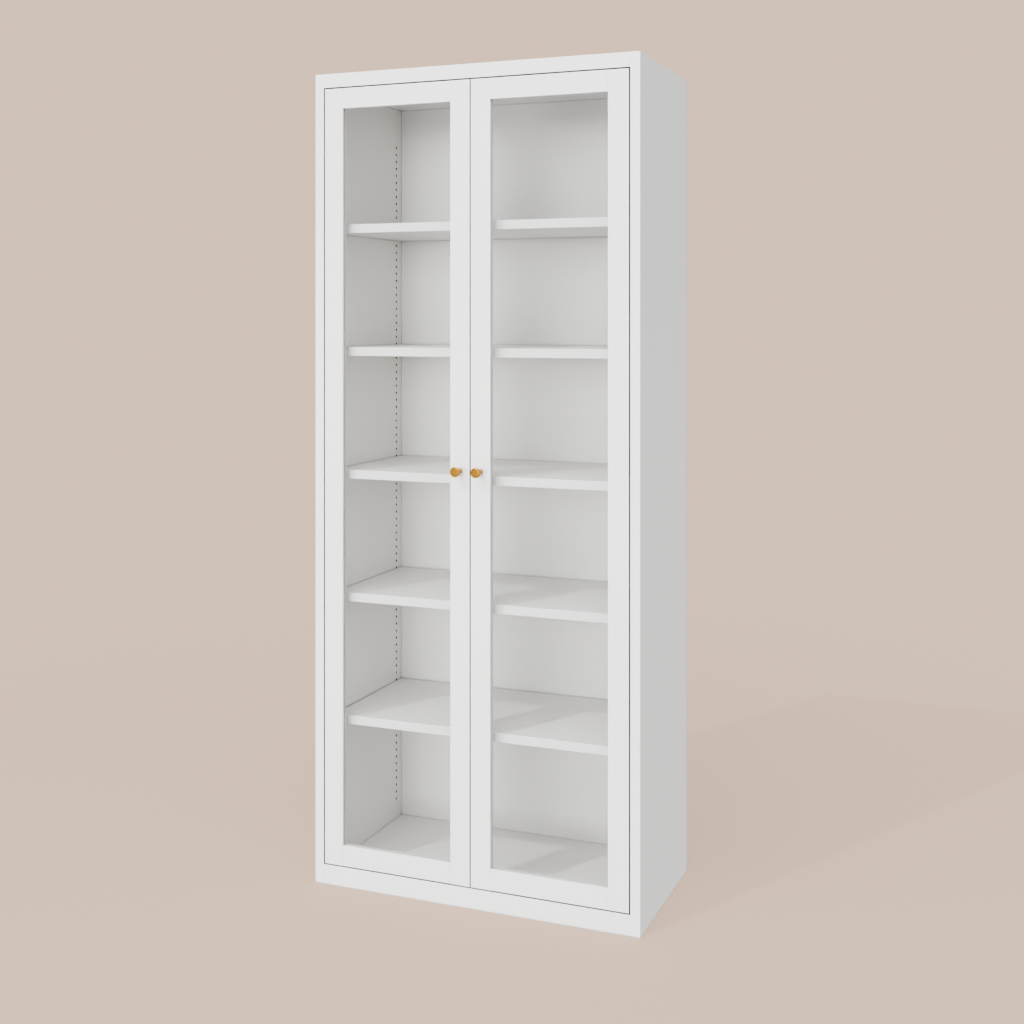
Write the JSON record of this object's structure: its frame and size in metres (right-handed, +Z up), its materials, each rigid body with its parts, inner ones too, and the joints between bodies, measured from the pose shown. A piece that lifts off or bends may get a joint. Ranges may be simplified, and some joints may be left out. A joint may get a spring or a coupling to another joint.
{
  "type": "glazed bookcase",
  "caption": "Tall white bookcase with adjustable shelves behind a pair of inset, single-pane glass doors, each with a round brass knob.",
  "frame": {"origin": "on the floor, at the middle of the bounding box's footprint, knobs included", "axes": "+X to the right seen from the front, +Y to the back, +Z up; the doors face -Y"},
  "size_m": [0.878, 0.476, 2.1],
  "materials": {
    "white_paint": "satin white lacquer on board",
    "back_board": "matt white coated board",
    "clear_glass": "clear, polished",
    "glazing_gasket": "matt white",
    "satin_brass": "satin, lacquered",
    "zinc_steel": "zinc plated",
    "white_plastic": "moulded, matt"
  },
  "bodies": {
    "carcass": {"side_panel_left": "white_paint", "side_panel_right": "white_paint", "side_liner_left": "white_paint", "side_liner_right": "white_paint", "top_panel": "white_paint", "bottom_panel": "white_paint", "plinth_rail": "white_paint", "back_panel": "back_board", "shelf_1": "white_paint", "shelf_2": "white_paint", "shelf_3": "white_paint", "shelf_4": "white_paint", "shelf_5": "white_paint", "shelf_pin_1_front_left": "zinc_steel", "shelf_pin_1_front_right": "zinc_steel", "shelf_pin_1_rear_left": "zinc_steel", "shelf_pin_1_rear_right": "zinc_steel", "shelf_pin_2_front_left": "zinc_steel", "shelf_pin_2_front_right": "zinc_steel", "shelf_pin_2_rear_left": "zinc_steel", "shelf_pin_2_rear_right": "zinc_steel", "shelf_pin_3_front_left": "zinc_steel", "shelf_pin_3_front_right": "zinc_steel", "shelf_pin_3_rear_left": "zinc_steel", "shelf_pin_3_rear_right": "zinc_steel", "shelf_pin_4_front_left": "zinc_steel", "shelf_pin_4_front_right": "zinc_steel", "shelf_pin_4_rear_left": "zinc_steel", "shelf_pin_4_rear_right": "zinc_steel", "shelf_pin_5_front_left": "zinc_steel", "shelf_pin_5_front_right": "zinc_steel", "shelf_pin_5_rear_left": "zinc_steel", "shelf_pin_5_rear_right": "zinc_steel", "magnetic_catch": "white_plastic", "pivot_bracket_top_left": "satin_brass", "pivot_bracket_bottom_left": "satin_brass", "pivot_bracket_top_right": "satin_brass", "pivot_bracket_bottom_right": "satin_brass"},
    "door_left": {"door_left_stile_hinge": "white_paint", "door_left_stile_meeting": "white_paint", "door_left_rail_top": "white_paint", "door_left_rail_bottom": "white_paint", "door_left_glass": "clear_glass", "door_left_gasket": "glazing_gasket", "door_left_knob": "satin_brass", "door_left_knob_screw": "zinc_steel", "door_left_strike": "zinc_steel", "pivot_bush_top_left": "satin_brass", "pivot_bush_bottom_left": "satin_brass"},
    "door_right": {"door_right_stile_hinge": "white_paint", "door_right_stile_meeting": "white_paint", "door_right_rail_top": "white_paint", "door_right_rail_bottom": "white_paint", "door_right_glass": "clear_glass", "door_right_gasket": "glazing_gasket", "door_right_knob": "satin_brass", "door_right_knob_screw": "zinc_steel", "door_right_strike": "zinc_steel", "pivot_bush_top_right": "satin_brass", "pivot_bush_bottom_right": "satin_brass"}
  },
  "joints": [
    {"name": "door_left_hinge", "type": "hinge", "parent": "carcass", "child": "door_left", "pos_m": [-0.399, -0.196, 0.054], "axis": [0, 0, -1], "range_deg": [0, 110]},
    {"name": "door_right_hinge", "type": "hinge", "parent": "carcass", "child": "door_right", "pos_m": [0.399, -0.196, 0.054], "axis": [0, 0, 1], "range_deg": [0, 110]}
  ]
}
